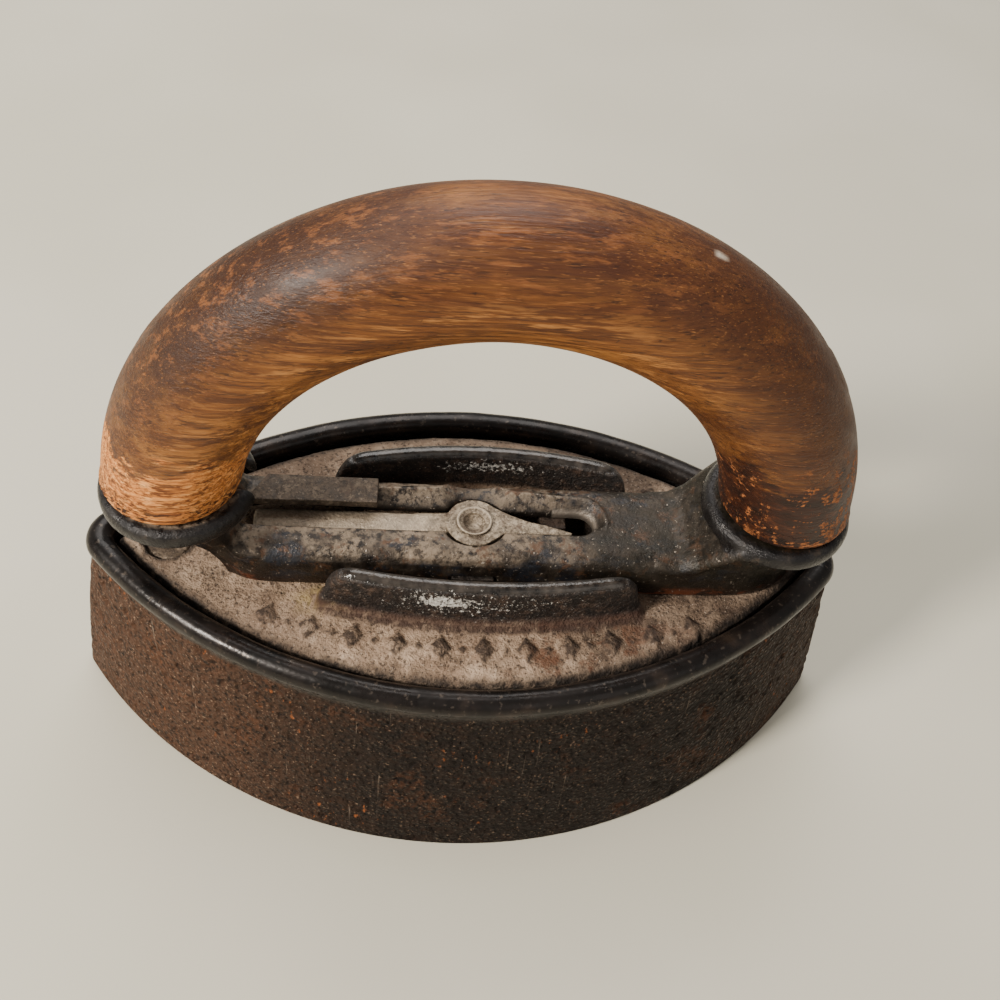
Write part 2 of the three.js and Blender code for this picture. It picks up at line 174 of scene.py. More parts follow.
def outward(obj):
    bm = bmesh.new()
    bm.from_mesh(obj.data)
    bmesh.ops.remove_doubles(bm, verts=bm.verts, dist=1e-6)
    bmesh.ops.recalc_face_normals(bm, faces=bm.faces)
    bm.to_mesh(obj.data)
    bm.free()
    obj.data.update()


def remeshed(node, name, voxel, rounds, extra=()):
    """A finer copy of a CAD node with its edges softened; extra meshes are fused into it."""
    obj = bpy.data.objects.new(name, NODES[node].data.copy())
    bpy.context.scene.collection.objects.link(obj)
    obj.data.materials.clear()
    bm = bmesh.new()
    bm.from_mesh(obj.data)
    bmesh.ops.remove_doubles(bm, verts=bm.verts, dist=1e-6)
    for verts_mm, faces in extra:
        made = [bm.verts.new(Vector(v) * MM) for v in verts_mm]
        for f in faces:
            bm.faces.new([made[i] for i in f])
    bm.to_mesh(obj.data)
    bm.free()
    for attribute in [a.name for a in obj.data.attributes if a.name not in ("position",)]:
        layer = obj.data.attributes.get(attribute)
        if layer and not layer.name.startswith(".") and not layer.is_internal and not layer.is_required:
            obj.data.attributes.remove(layer)
    grid = obj.modifiers.new("grid", "REMESH")
    grid.mode = "VOXEL"
    grid.voxel_size = voxel * MM
    grid.adaptivity = 0
    soft = obj.modifiers.new("soft", "SMOOTH")
    soft.factor = 0.5
    soft.iterations = rounds
    bpy.context.view_layer.update()
    applied(obj)
    shade_smooth(obj)
    return obj


def roughen(obj, amounts):
    """Moves the surface along its normals by layers of noise: (height mm, feature mm, octaves, seed)."""
    co, n = coords(obj), normals(obj)
    push = sum(h * fractal(co, size, octaves, seed) for h, size, octaves, seed in amounts)
    set_coords(obj, co + n * push[:, None])


def fit_in_box(obj, node):
    """Keeps a displaced piece inside its CAD node's box."""
    low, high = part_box(node)
    co = coords(obj)
    set_coords(obj, np.clip(co, np.array(low) / MM, np.array(high) / MM))


def oval(a, b, r, count):
    """Pointed oval of two arcs with blunted tips, as evenly spaced points."""
    big = ((a - r) ** 2 + b * b - r * r) / (2 * (b - r))
    start = math.atan2(big - b, a - r)
    t = np.linspace(start, math.pi - start, 400)
    top = np.stack([big * np.cos(t), b - big + big * np.sin(t)], 1)
    t = np.linspace(math.pi - start, math.pi + start, 60)
    left = np.stack([r - a + r * np.cos(t), r * np.sin(t)], 1)
    line = np.concatenate([top[:-1], left[:-1], -top[:-1], -left])
    line = np.concatenate([line, line[:1]])
    seg = np.hypot(*np.diff(line, axis=0).T)
    along = np.concatenate([[0], np.cumsum(seg)])
    at = np.linspace(0, along[-1], count, endpoint=False)
    return np.stack([np.interp(at, along, line[:, k]) for k in (0, 1)], 1)


def skin(rings):
    """Quads between rings of equal point count, with a fan of triangles at each end."""
    n = len(rings[0])
    verts = np.concatenate(rings)
    base = np.arange(n)
    nxt = (base + 1) % n
    faces = []
    for k in range(len(rings) - 1):
        a, b = k * n, (k + 1) * n
        faces.extend(np.stack([a + base, a + nxt, b + nxt, b + base], 1).tolist())
    for centre, first in ((len(verts), 0), (len(verts) + 1, len(verts) - n)):
        faces.extend([[centre, first + int(j), first + int(i)] for i, j in zip(base, nxt)])
    return np.concatenate([verts, [rings[0].mean(0), rings[-1].mean(0)]]), faces


def loft(rings):
    """A closed solid through rings of equal point count, with one flat face at each end."""
    n = len(rings[0])
    verts = [point for ring in rings for point in ring]
    faces = [(k * n + i, k * n + (i + 1) % n, (k + 1) * n + (i + 1) % n, (k + 1) * n + i)
             for k in range(len(rings) - 1) for i in range(n)]
    faces += [tuple(reversed(range(n))), tuple(range(len(verts) - n, len(verts)))]
    return verts, faces


# ---------- procedural materials ----------
def tint(r, g, b):
    """Screen colour 0-255 to the linear value that Blender's sockets take."""
    c = np.array([r, g, b]) / 255
    c = np.where(c <= 0.04045, c / 12.92, ((c + 0.055) / 1.055) ** 2.4)
    return (*c.tolist(), 1.0)


class Paint:
    """A node material whose patterns are laid out in the object's own millimetres."""

    def __init__(self, name):
        self.material = bpy.data.materials.new(name)
        self.material.use_nodes = True
        self.tree = self.material.node_tree
        self.tree.nodes.clear()
        self.shader = self.tree.nodes.new("ShaderNodeBsdfPrincipled")
        out = self.tree.nodes.new("ShaderNodeOutputMaterial")
        self.tree.links.new(self.shader.outputs[0], out.inputs[0])
        place = self.tree.nodes.new("ShaderNodeTexCoord")
        self.place = place.outputs["Object"]

    def put(self, socket, value):
        if isinstance(value, bpy.types.NodeSocket):
            self.tree.links.new(value, socket)
        else:
            socket.default_value = value

    def where(self, size):
        """The place on the object with the given feature size in mm, one number or three, as unit."""
        scale = self.tree.nodes.new("ShaderNodeVectorMath")
        scale.operation = "MULTIPLY"
        size = (size,) * 3 if not hasattr(size, "__len__") else size
        self.put(scale.inputs[0], self.place)
        scale.inputs[1].default_value = [1000.0 / s for s in size]
        return scale.outputs[0]

    def noise(self, size, detail=4, rough=0.55, twist=0.0, shift=0.0):
        n = self.tree.nodes.new("ShaderNodeTexNoise")
        place = self.where(size)
        if shift:
            move = self.tree.nodes.new("ShaderNodeVectorMath")
            move.operation = "ADD"
            self.put(move.inputs[0], place)
            move.inputs[1].default_value = (shift, shift * 1.7, shift * 0.6)
            place = move.outputs[0]
        self.put(n.inputs["Vector"], place)
        n.inputs["Scale"].default_value = 1
        n.inputs["Detail"].default_value = detail
        n.inputs["Roughness"].default_value = rough
        n.inputs["Distortion"].default_value = twist
        return n.outputs["Fac"]

    def cells(self, size):
        n = self.tree.nodes.new("ShaderNodeTexVoronoi")
        self.put(n.inputs["Vector"], self.where(size))
        n.inputs["Scale"].default_value = 1
        return n.outputs["Distance"]

    def attr(self, name):
        n = self.tree.nodes.new("ShaderNodeAttribute")
        n.attribute_name = name
        return n.outputs["Fac"]

    def span(self, value, low, high, to_low=0.0, to_high=1.0):
        """Eases from to_low to to_high while the value goes from low to high."""
        n = self.tree.nodes.new("ShaderNodeMapRange")
        n.interpolation_type = "SMOOTHSTEP"
        self.put(n.inputs["Value"], value)
        ends = (("From Min", low), ("From Max", high), ("To Min", to_low), ("To Max", to_high))
        for socket, number in ends:
            n.inputs[socket].default_value = number
        return n.outputs["Result"]

    def calc(self, kind, a, b):
        n = self.tree.nodes.new("ShaderNodeMath")
        n.operation = kind
        self.put(n.inputs[0], a)
        self.put(n.inputs[1], b)
        return n.outputs[0]

    def times(self, *values):
        total = values[0]
        for value in values[1:]:
            total = self.calc("MULTIPLY", total, value)
        return total

    def inverse(self, value):
        return self.calc("SUBTRACT", 1.0, value)

    def blend(self, share, a, b):
        """Colour a where the share is 0 and b where it is 1."""
        n = self.tree.nodes.new("ShaderNodeMix")
        n.data_type = "RGBA"
        n.clamp_factor = True
        self.put(n.inputs["Factor"], share)
        self.put(n.inputs["A"], a)
        self.put(n.inputs["B"], b)
        return n.outputs["Result"]

    def ramp(self, value, *stops):
        n = self.tree.nodes.new("ShaderNodeValToRGB")
        self.put(n.inputs["Fac"], value)
        ramp = n.color_ramp
        while len(ramp.elements) > 1:
            ramp.elements.remove(ramp.elements[-1])
        ramp.elements[0].position, ramp.elements[0].color = stops[0]
        for position, color in stops[1:]:
            element = ramp.elements.new(position)
            element.color = color
        return n.outputs["Color"]

    def bump(self, *layers):
        """Fine relief from (height value, depth mm) layers."""
        normal = None
        for height, depth in layers:
            n = self.tree.nodes.new("ShaderNodeBump")
            n.inputs["Strength"].default_value = 1
            n.inputs["Distance"].default_value = depth * MM
            self.put(n.inputs["Height"], height)
            if normal:
                self.put(n.inputs["Normal"], normal)
            normal = n.outputs["Normal"]
        self.put(self.shader.inputs["Normal"], normal)

    def finish(self, color, rough, metal=0.0, **fixed):
        self.put(self.shader.inputs["Base Color"], color)
        self.put(self.shader.inputs["Roughness"], rough)
        self.put(self.shader.inputs["Metallic"], metal)
        for name, value in fixed.items():
            self.shader.inputs[name.replace("_", " ")].default_value = value
        return self.material


def cast_side_material():
    p = Paint("cast_sole_iron")
    broad = p.noise(30, 3)
    mid = p.noise(4.0, 4, shift=3)
    grain = p.noise(1.1, 3, 0.65, shift=1)
    grit = p.noise(0.62, 2, 0.6, shift=8)
    pebble = p.cells(1.0)
    base = p.ramp(mid, (0.28, tint(18, 12, 8)), (0.5, tint(29, 19, 13)), (0.74, tint(45, 30, 20)))
    base = p.blend(p.span(broad, 0.40, 0.64, 0, 0.6), base, tint(25, 18, 13))
    base = p.blend(p.span(pebble, 0.34, 0.12, 0, 0.4), base, tint(64, 46, 33))
    # painted light: the side turns lighter towards the left end, and a little towards the right end, where the
    # key light falls
    tips = p.attr("tips")
    base = p.blend(p.times(tips, p.span(grain, 0.34, 0.62, 0.55, 0.95)), base, tint(96, 67, 49))
    base = p.blend(p.span(grain, 0.48, 0.34, 0, 0.62), base, tint(18, 12, 9))
    # painted glints: light flecks on the side, brighter at the lit ends
    glint_flecks = p.blend(tips, tint(120, 98, 80), tint(170, 140, 114))
    base = p.blend(p.span(grit, 0.62, 0.72, 0, 0.8), base, glint_flecks)
    near = p.span(p.noise(17, 2, shift=5), 0.52, 0.64)
    rust = p.times(p.span(p.noise((1.3, 1.3, 2.6), 3, 0.65, shift=9), 0.62, 0.72), near)
    base = p.blend(p.times(rust, 0.85), base, tint(150, 86, 44))
    warm = p.times(p.span(p.noise(11, 3, shift=37), 0.52, 0.68, 0, 0.45), p.span(grain, 0.4, 0.6))
    base = p.blend(warm, base, tint(92, 56, 34))
    scratch = p.span(p.noise((0.5, 9, 16), 2, 0.5, 1.2, shift=55), 0.71, 0.75)
    base = p.blend(p.times(scratch, 0.6), base, tint(128, 112, 98))
    pits = p.span(p.cells(1.7), 0.34, 0.08)
    base = p.blend(p.times(pits, p.span(mid, 0.35, 0.6, 0.35, 0.9)), base, tint(15, 11, 9))
    rim = p.attr("rim")
    rim_color = p.ramp(p.noise(6, 4, shift=21), (0.3, tint(20, 18, 17)), (0.55, tint(34, 29, 27)),
                       (0.78, tint(62, 51, 43)))
    rim_color = p.blend(p.span(p.noise(1.0, 3, shift=22), 0.60, 0.70, 0, 0.5), rim_color, tint(92, 82, 73))
    color = p.blend(rim, base, rim_color)
    # painted shade: near-black on the bead's inner face, which faces away from the light
    shaded_groove = p.attr("shaded_groove")
    color = p.blend(shaded_groove, color, tint(14, 10, 8))
    rough_side = p.span(pebble, 0.10, 0.45, 0.46, 0.80)
    rough_rim = p.span(p.noise(5.0, 4, 0.6, shift=2), 0.35, 0.7, 0.24, 0.42)
    rough = p.calc("ADD", p.times(rough_side, p.inverse(rim)), p.times(rough_rim, rim))
    fade = p.inverse(p.times(rim, 0.95))
    p.bump((p.times(p.times(pebble, -1.0), fade), 0.55), (p.times(grain, fade), 0.40),
           (p.times(p.inverse(pits), fade), 0.15), (p.noise(9, 2), 0.15))
    return p.finish(color, rough, 0.4, Specular_IOR_Level=0.32)


def deck_material():
    p = Paint("cast_deck_rust")
    broad = p.noise(20, 3, shift=4)
    mid = p.noise(3.2, 4, 0.6)
    grain = p.noise(0.9, 3, 0.7, shift=7)
    grit = p.noise(0.5, 2, 0.6, shift=17)
    base = p.ramp(mid, (0.28, tint(108, 88, 70)), (0.5, tint(161, 136, 113)), (0.72, tint(198, 172, 147)))
    base = p.blend(p.span(broad, 0.45, 0.7, 0, 0.6), base, tint(106, 84, 68))
    right_part = p.attr("right_part")
    # darker towards the right of the deck
    base = p.blend(p.times(right_part, p.span(mid, 0.3, 0.6, 0.9, 0.6)), base, tint(66, 50, 39))
    base = p.blend(p.span(grain, 0.47, 0.35, 0, 0.8), base, tint(54, 40, 31))
    base = p.blend(p.span(grit, 0.60, 0.72, 0, 0.6), base, tint(186, 166, 147))
    orange = p.times(p.span(p.noise(8, 4, 0.7, shift=31), 0.50, 0.62), p.span(grain, 0.35, 0.55, 0.4, 1),
                     p.attr("rusty"))
    base = p.blend(p.times(orange, 0.8), base, tint(94, 54, 30))
    yellow = p.times(p.span(p.noise(3.5, 3, shift=41), 0.36, 0.52), p.attr("yellow"))
    base = p.blend(yellow, base, tint(150, 128, 74))
    # painted shade: dark along the deck's edge beside the bead, round the screw wells and on faces below the
    # deck top
    edge = p.attr("edge")
    edge_shade_mottle = p.span(p.noise(2.0, 4, 0.7, shift=12), 0.3, 0.6, 0.5, 1.0)
    base = p.blend(p.times(edge, edge_shade_mottle), base, tint(28, 20, 15))
    # painted shade: the deck darkened beneath the handle frame
    base = p.blend(p.times(p.attr("under_frame_shade"), p.span(mid, 0.25, 0.6, 0.75, 0.95)), base, tint(27, 20, 15))
    # darker in patches on the raised ornament
    relief = p.attr("relief")
    patches = p.span(p.noise(1.4, 3, shift=14), 0.36, 0.58, 0.25, 0.9)
    base = p.blend(p.times(relief, patches), base, tint(50, 37, 29))
    foot = p.attr("foot")
    ragged = p.span(p.noise(2.2, 4, 0.65, shift=16), 0.28, 0.55, 0.5, 1)
    base = p.blend(p.times(foot, ragged), base, tint(62, 38, 28))
    rib = p.attr("rib")
    iron = p.ramp(p.noise(2.0, 4, 0.65, shift=18), (0.3, tint(16, 13, 11)), (0.52, tint(38, 29, 24)),
                  (0.75, tint(86, 66, 53)))
    base = p.blend(rib, base, iron)
    base = p.blend(p.times(rib, p.span(grit, 0.60, 0.7, 0, 0.7)), base, tint(122, 108, 96))
    lip = p.attr("lip")
    lip_color = p.ramp(p.noise(2.0, 3, shift=19), (0.35, tint(30, 27, 25)), (0.7, tint(76, 69, 63)))
    base = p.blend(lip, base, lip_color)
    chalk_field = p.attr("chalk")
    flecks = p.calc("ADD", p.noise(0.8, 4, 0.8, shift=23), p.times(chalk_field, 0.17))
    chalk = p.span(flecks, 0.66, 0.70)
    base = p.blend(p.times(chalk, p.span(chalk_field, 0.05, 0.3)), base, tint(214, 210, 202))
    rough = p.calc("SUBTRACT", p.span(mid, 0.3, 0.7, 0.76, 0.92), p.times(lip, 0.50))
    rough = p.calc("SUBTRACT", rough, p.times(rib, 0.22))
    fade = p.inverse(p.times(lip, 0.85))
    p.bump((p.times(grain, fade), 0.62), (p.times(grit, fade), 0.25), (p.times(mid, fade), 0.3))
    return p.finish(base, rough, 0.15)


def frame_material():
    p = Paint("worn_black_steel")
    broad = p.noise(14, 4, 0.6, shift=5)
    mid = p.noise(3.6, 4, 0.65, shift=2)
    fine = p.noise(0.9, 3, 0.65)
    base = p.ramp(mid, (0.3, tint(24, 21, 19)), (0.52, tint(46, 39, 33)), (0.72, tint(76, 65, 54)))
    blue = p.times(p.span(p.noise((8, 4, 4), 4, 0.6, shift=51), 0.52, 0.62), p.span(fine, 0.35, 0.55, 0.4, 1))
    base = p.blend(p.times(blue, 0.8), base, tint(38, 42, 50))
    dusty = p.attr("dusty")
    dust = p.times(p.span(broad, 0.38, 0.58), p.span(p.noise(1.8, 4, 0.7, shift=6), 0.38, 0.58), dusty)
    base = p.blend(p.times(dust, 0.85), base, tint(146, 129, 110))
    brown = p.times(p.span(p.noise(5, 4, 0.7, shift=71), 0.53, 0.62), p.span(p.noise(1.2, 3), 0.38, 0.56))
    base = p.blend(p.times(brown, 0.8), base, tint(88, 62, 44))
    # painted shade: dark olive over the right part of the frame, which lies in shade
    olive_shade = p.times(p.span(p.noise(7, 4, 0.6, shift=63), 0.42, 0.6, 0.35, 1), p.attr("right"))
    base = p.blend(p.times(olive_shade, 0.75), base, tint(34, 30, 21))
    low = p.attr("low")
    base = p.blend(p.times(low, 0.8), base, tint(44, 31, 24))
    rust = p.times(low, p.span(p.noise((7, 3, 3), 4, 0.65, shift=81), 0.54, 0.62))
    base = p.blend(p.times(rust, 0.8), base, tint(112, 60, 36))
    # painted shade: darker where the sheet rolls down into the slot
    slot_shade = p.attr("slot_shade")
    base = p.blend(p.times(slot_shade, 0.7), base, tint(24, 20, 18))
    speck = p.span(p.noise(0.6, 2, shift=91), 0.66, 0.73)
    base = p.blend(p.times(speck, 0.7), base, tint(164, 152, 138))
    pad = p.attr("pad")
    pad_color = p.ramp(p.noise(3, 4, 0.6, shift=95), (0.35, tint(26, 24, 25)), (0.6, tint(44, 41, 40)),
                       (0.75, tint(74, 63, 54)))
    base = p.blend(pad, base, pad_color)
    # painted highlight: a light line along the lit right end of the slot's edge
    base = p.blend(p.attr("edge"), base, tint(142, 131, 119))
    rough = p.calc("ADD", p.span(mid, 0.3, 0.7, 0.30, 0.52), p.times(dust, 0.25))
    rough = p.calc("SUBTRACT", rough, p.times(pad, 0.12))
    p.bump((p.noise(0.8, 4, 0.7, shift=8), 0.22), (mid, 0.28), (p.noise(11, 2), 0.3))
    return p.finish(base, rough, 0.5)


def steel_material(name, tones, roughness, metal):
    dark, middle, light = (tint(*tone) for tone in tones)
    p = Paint(name)
    mid = p.noise(2.6, 4, 0.6, shift=2)
    fine = p.noise(0.6, 3, 0.65)
    base = p.ramp(mid, (0.28, dark), (0.52, middle), (0.74, light))
    speckle = p.noise(0.7, 3, 0.7, shift=33)
    base = p.blend(p.span(fine, 0.50, 0.62, 0, 0.75), base, dark)
    base = p.blend(p.span(speckle, 0.54, 0.66, 0, 0.7), base, light)
    base = p.blend(p.span(p.noise(1.5, 4, 0.7, shift=44), 0.54, 0.64, 0, 0.65), base, dark)
    stain = p.times(p.span(p.noise(5, 4, 0.6, shift=13), 0.54, 0.66), p.span(fine, 0.3, 0.6, 0.4, 1))
    base = p.blend(p.times(stain, 0.7), base, tint(74, 55, 43))
    # lighter where the edge mask is set; on the lever's tail this is painted light
    base = p.blend(p.times(p.attr("edge"), 0.7), base, light)
    p.bump((fine, 0.20), (speckle, 0.20), (mid, 0.30), (p.noise((5, 0.5, 0.5), 2), 0.05))
    return p.finish(base, p.span(mid, 0.3, 0.7, *roughness), metal)


def plaster_material():
    p = Paint("set_plaster")
    mid = p.noise(4, 4)
    base = p.ramp(mid, (0.3, tint(150, 140, 124)), (0.7, tint(190, 182, 166)))
    p.bump((p.noise(0.8, 4, 0.7), 0.3))
    return p.finish(base, 0.9, 0.0)


def wood_material():
    p = Paint("varnished_wood")
    streak = p.noise((46, 3.4, 3.4), 4, 0.6, 0.4)
    band = p.noise((17, 0.9, 0.9), 4, 0.65, 0.5, shift=5)
    fibre = p.noise((6, 0.36, 0.36), 3, 0.6, shift=9)
    hair = p.noise((3.2, 0.24, 0.24), 2, 0.6, shift=29)
    patch = p.noise(22, 3, shift=15)
    base = p.ramp(streak, (0.30, tint(82, 44, 17)), (0.46, tint(118, 69, 27)), (0.62, tint(152, 97, 42)),
                  (0.78, tint(176, 119, 60)))
    base = p.blend(p.span(band, 0.48, 0.62, 0, 0.7), base, tint(74, 38, 15))
    base = p.blend(p.span(band, 0.46, 0.34, 0, 0.55), base, tint(170, 112, 54))
    ochre = p.times(p.span(p.noise((15, 1.3, 1.3), 4, 0.7, shift=33), 0.54, 0.64), p.attr("light_side"))
    base = p.blend(p.times(ochre, 0.8), base, tint(192, 130, 68))
    haze = p.times(p.attr("top_side"), p.span(patch, 0.30, 0.60, 0.35, 1.0))
    base = p.blend(p.times(haze, 0.84), base, tint(62, 31, 16))
    left_top = p.times(p.attr("top_side"), p.attr("left"))
    base = p.blend(p.times(left_top, 0.72), base, tint(36, 18, 9))
    rubbed = p.times(p.attr("top_side"), p.span(p.noise((9, 1.6, 1.6), 4, 0.65, shift=36), 0.52, 0.66, 0, 0.45))
    base = p.blend(rubbed, base, tint(150, 92, 48))
    right = p.attr("right")
    shade = p.span(p.noise(14, 3, shift=44), 0.3, 0.6, 0.35, 0.8)
    base = p.blend(p.times(right, shade), base, tint(66, 34, 14))
    pores = p.times(p.span(fibre, 0.56, 0.66), p.span(p.noise(6, 2, shift=27), 0.35, 0.55, 0.4, 1))
    base = p.blend(p.times(pores, 0.75), base, tint(44, 22, 10))
    base = p.blend(p.span(hair, 0.60, 0.70, 0, 0.32), base, tint(176, 118, 64))
    bare_left = p.attr("bare_left")
    ragged = p.calc("ADD", p.times(p.calc("SUBTRACT", p.noise((11, 1.5, 1.5), 4, 0.7, shift=3), 0.5), 1.5),
                    p.times(p.calc("SUBTRACT", p.noise((13, 7, 7), 3, 0.6, shift=13), 0.5), 1.6))
    bare = p.span(p.calc("ADD", bare_left, ragged), 0.40, 0.60)
    bare_color = p.ramp(p.noise((12, 0.8, 0.8), 4, 0.7, 0.5, shift=6), (0.3, tint(126, 68, 28)),
                        (0.5, tint(206, 130, 62)), (0.7, tint(240, 176, 108)))
    bare_color = p.blend(p.span(fibre, 0.52, 0.62, 0, 0.8), bare_color, tint(104, 52, 24))
    streaks = p.span(p.noise((7, 1.0, 1.0), 4, 0.7, shift=58), 0.52, 0.62, 0, 0.85)
    bare_color = p.blend(streaks, bare_color, tint(86, 42, 16))
    base = p.blend(bare, base, bare_color)
    crack = p.times(p.span(p.noise((9, 0.8, 0.8), 4, 0.7, 0.6, shift=61), 0.53, 0.59),
                    p.span(p.attr("foot"), 0.15, 0.75))
    base = p.blend(crack, base, tint(48, 22, 12))
    right_part = p.attr("bare_right")
    stain = p.span(p.calc("ADD", right_part, p.times(ragged, 0.8)), 0.34, 0.56)
    stain_color = p.ramp(p.noise((8, 2, 2), 4, 0.7, shift=66), (0.36, tint(24, 9, 5)),
                         (0.55, tint(50, 21, 9)), (0.72, tint(98, 52, 23)))
    base = p.blend(p.times(stain, 0.94), base, stain_color)
    flake = p.calc("ADD", p.noise((4.2, 2.4, 5.5), 5, 0.8, 0.2, shift=47), p.times(p.attr("flaked"), 0.07))
    jagged = p.calc("SUBTRACT", p.noise((7, 0.7, 0.7), 3, 0.6, shift=74), 0.5)
    flake = p.calc("ADD", flake, p.times(jagged, 0.5))
    tan = p.times(p.span(flake, 0.57, 0.63), p.span(right_part, 0.1, 0.5))
    base = p.blend(tan, base, p.ramp(fibre, (0.4, tint(174, 108, 60)), (0.62, tint(108, 58, 28))))
    bruise = p.span(p.noise(1.8, 3, 0.6, shift=85), 0.68, 0.74)
    base = p.blend(p.times(bruise, 0.6), base, tint(40, 20, 12))
    nick = p.attr("nick")
    base = p.blend(nick, base, tint(206, 190, 170))
    # rougher where the varnish is worn off: the bare foot and the tan flakes
    patches = p.calc("MAXIMUM", bare, tan)
    rough = p.calc("ADD", p.span(p.noise((20, 5, 5), 3, shift=8), 0.3, 0.7, 0.40, 0.56), p.times(patches, 0.28))
    p.bump((p.times(fibre, -1.0), 0.12), (band, 0.16), (p.times(crack, -1.0), 0.45),
           (tan, 0.15), (bare, 0.10))
    return p.finish(base, rough, 0.0, Coat_Weight=0.05, Coat_Roughness=0.3, IOR=1.45, Specular_IOR_Level=0.36)


MAT_SIDE = cast_side_material()
MAT_DECK = deck_material()
MAT_FRAME = frame_material()
MAT_WOOD = wood_material()
MAT_LEVER = steel_material("dusty_lever_steel", ((76, 65, 53), (136, 121, 102), (184, 168, 147)), (0.48, 0.66),
                           0.35)
MAT_GUIDE = steel_material("guide_steel", ((46, 37, 29), (80, 67, 54), (118, 103, 87)), (0.5, 0.68), 0.4)
MAT_SCREW = steel_material("deck_screw_steel", ((60, 48, 38), (106, 90, 74), (150, 134, 116)), (0.5, 0.7), 0.4)
MAT_INNER = steel_material("oiled_inner_steel", ((34, 30, 28), (56, 50, 46), (82, 74, 68)), (0.4, 0.6), 0.6)
MAT_CATCH = steel_material("catch_iron", ((40, 32, 27), (66, 54, 46), (98, 82, 70)), (0.6, 0.8), 0.35)
MAT_PLASTER = plaster_material()


def install(obj, material, body, slot, *nodes):
    obj.data.materials.clear()
    obj.data.materials.append(material)
    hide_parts(*nodes)
    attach(obj, body)


# ---------- cast sole shell ----------
def oval_ring(shape, inset, z):
    a, b, r = shape
    xy = oval(a - inset, b - inset, max(r - inset, 0.6), SOLE_COUNT)
    return np.column_stack([xy, np.full(SOLE_COUNT, z)])


def sole_rings():
    """Rings from the middle of the underside, up the side, over the bead and down into the cavity."""
    rings = []
    for share in (0.05, 0.2, 0.35, 0.5, 0.65, 0.8, 0.92, 0.985):
        ring = oval_ring(SOLE, FOOT_ROUND[0][0], 0.0)
        ring[:, :2] *= share
        rings.append(ring)
    rings += [oval_ring(SOLE, d, z) for d, z in FOOT_ROUND]
    inset, low = FOOT_ROUND[-1]
    levels = ((low, SOLE, inset), (WAIST_Z, WAIST, 0.0), (SHOULDER_Z, SHOULDER, 0.0))
    for z in np.linspace(1.4, SHOULDER_Z, 66):
        k = 0 if z < WAIST_Z else 1
        (z0, shape0, inset0), (z1, shape1, inset1) = levels[k:k + 2]
        t = (z - z0) / (z1 - z0)
        shape = tuple(u + (v - u) * t for u, v in zip(shape0, shape1))
        rings.append(oval_ring(shape, inset0 + (inset1 - inset0) * t, z))
    for t in np.radians(np.linspace(-30, 180, 26)):
        rings.append(oval_ring(RIM, -BEAD_R * math.cos(t), BEAD_Z + BEAD_R * math.sin(t)))
    rings += [oval_ring(RIM, BEAD_R, z) for z in (42.2, 41.2, 40.2, 39.3)]
    rings.append(oval_ring(RIM, BEAD_R + 0.3, LEDGE_Z))
    rings.append(oval_ring(CAVITY, 0, LEDGE_Z))
    rings.append(oval_ring(CAVITY, 1.5, CAVITY_FLOOR))
    return rings


def build_sole():
    obj = mesh_piece("cast_sole", *skin(sole_rings()))
    outward(obj)
    co, n = coords(obj), normals(obj)
    z = co[:, 2]
    rim = smooth((z - 41.0) / 1.0)
    shaded_groove = ((z > LEDGE_Z - 0.2) & (z < BEAD_Z - 0.6) & (n[:, 2] < 0.8) & (z > 38)
              & (n[:, 0] * co[:, 0] + n[:, 1] * co[:, 1] < 0))
    outer = (1 - rim) * (z > 0.6)
    push = (0.20 * fractal(co, 13, 3, 3) + 0.20 * fractal(co, 2.0, 2, 5)) * outer
    pits = np.clip(fractal(co, 1.8, 2, 11) - 0.20, 0, 1)
    push = push - 1.1 * pits * outer
    push = push + (0.08 * fractal(co, 9, 2, 21) + 0.015 * fractal(co, 2.0, 2, 23)) * rim * (1 - shaded_groove)
    push = np.where(z < 0.3, 0, push - 0.12 * outer)
    set_coords(obj, co + n * push[:, None])
    fit_in_box(obj, "sole_body")
    # painted light mask: lighter towards the left end of the side, a little towards the right end
    mark(obj, "tips", smooth((-co[:, 0] - 12) / 46) * 0.72 + smooth((co[:, 0] - 50) / 30) * 0.3)
    mark(obj, "rim", rim * (1 - shaded_groove))
    # painted shade on the bead's inner face
    mark(obj, "shaded_groove", shaded_groove.astype(float) * smooth((BEAD_Z + 0.4 - z) / 1.2))
    shade_smooth(obj)
    for side in (-1, 1):
        drill(obj, side * SCREW_X, SCREW_HOLE_R, *SCREW_HOLE_Z)
    install(obj, MAT_SIDE, "iron", "cast_iron_side", "sole_body")


def drill(obj, x, radius, z0, z1):
    """Cuts an upright hole on the centre line."""
    place = Matrix.Translation(Vector((x, 0, (z0 + z1) / 2)) * MM)
    bm = bmesh.new()
    bmesh.ops.create_cone(bm, cap_ends=True, segments=32, radius1=radius * MM, radius2=radius * MM,
                          depth=(z1 - z0) * MM, matrix=place)
    mesh = bpy.data.meshes.new("drill")
    bm.to_mesh(mesh)
    bm.free()
    tool = bpy.data.objects.new("drill", mesh)
    bpy.context.scene.collection.objects.link(tool)
    cut = obj.modifiers.new("hole", "BOOLEAN")
    cut.operation = "DIFFERENCE"
    cut.solver = "FAST"
    cut.object = tool
    bpy.context.view_layer.update()
    applied(obj)
    bpy.data.objects.remove(tool)


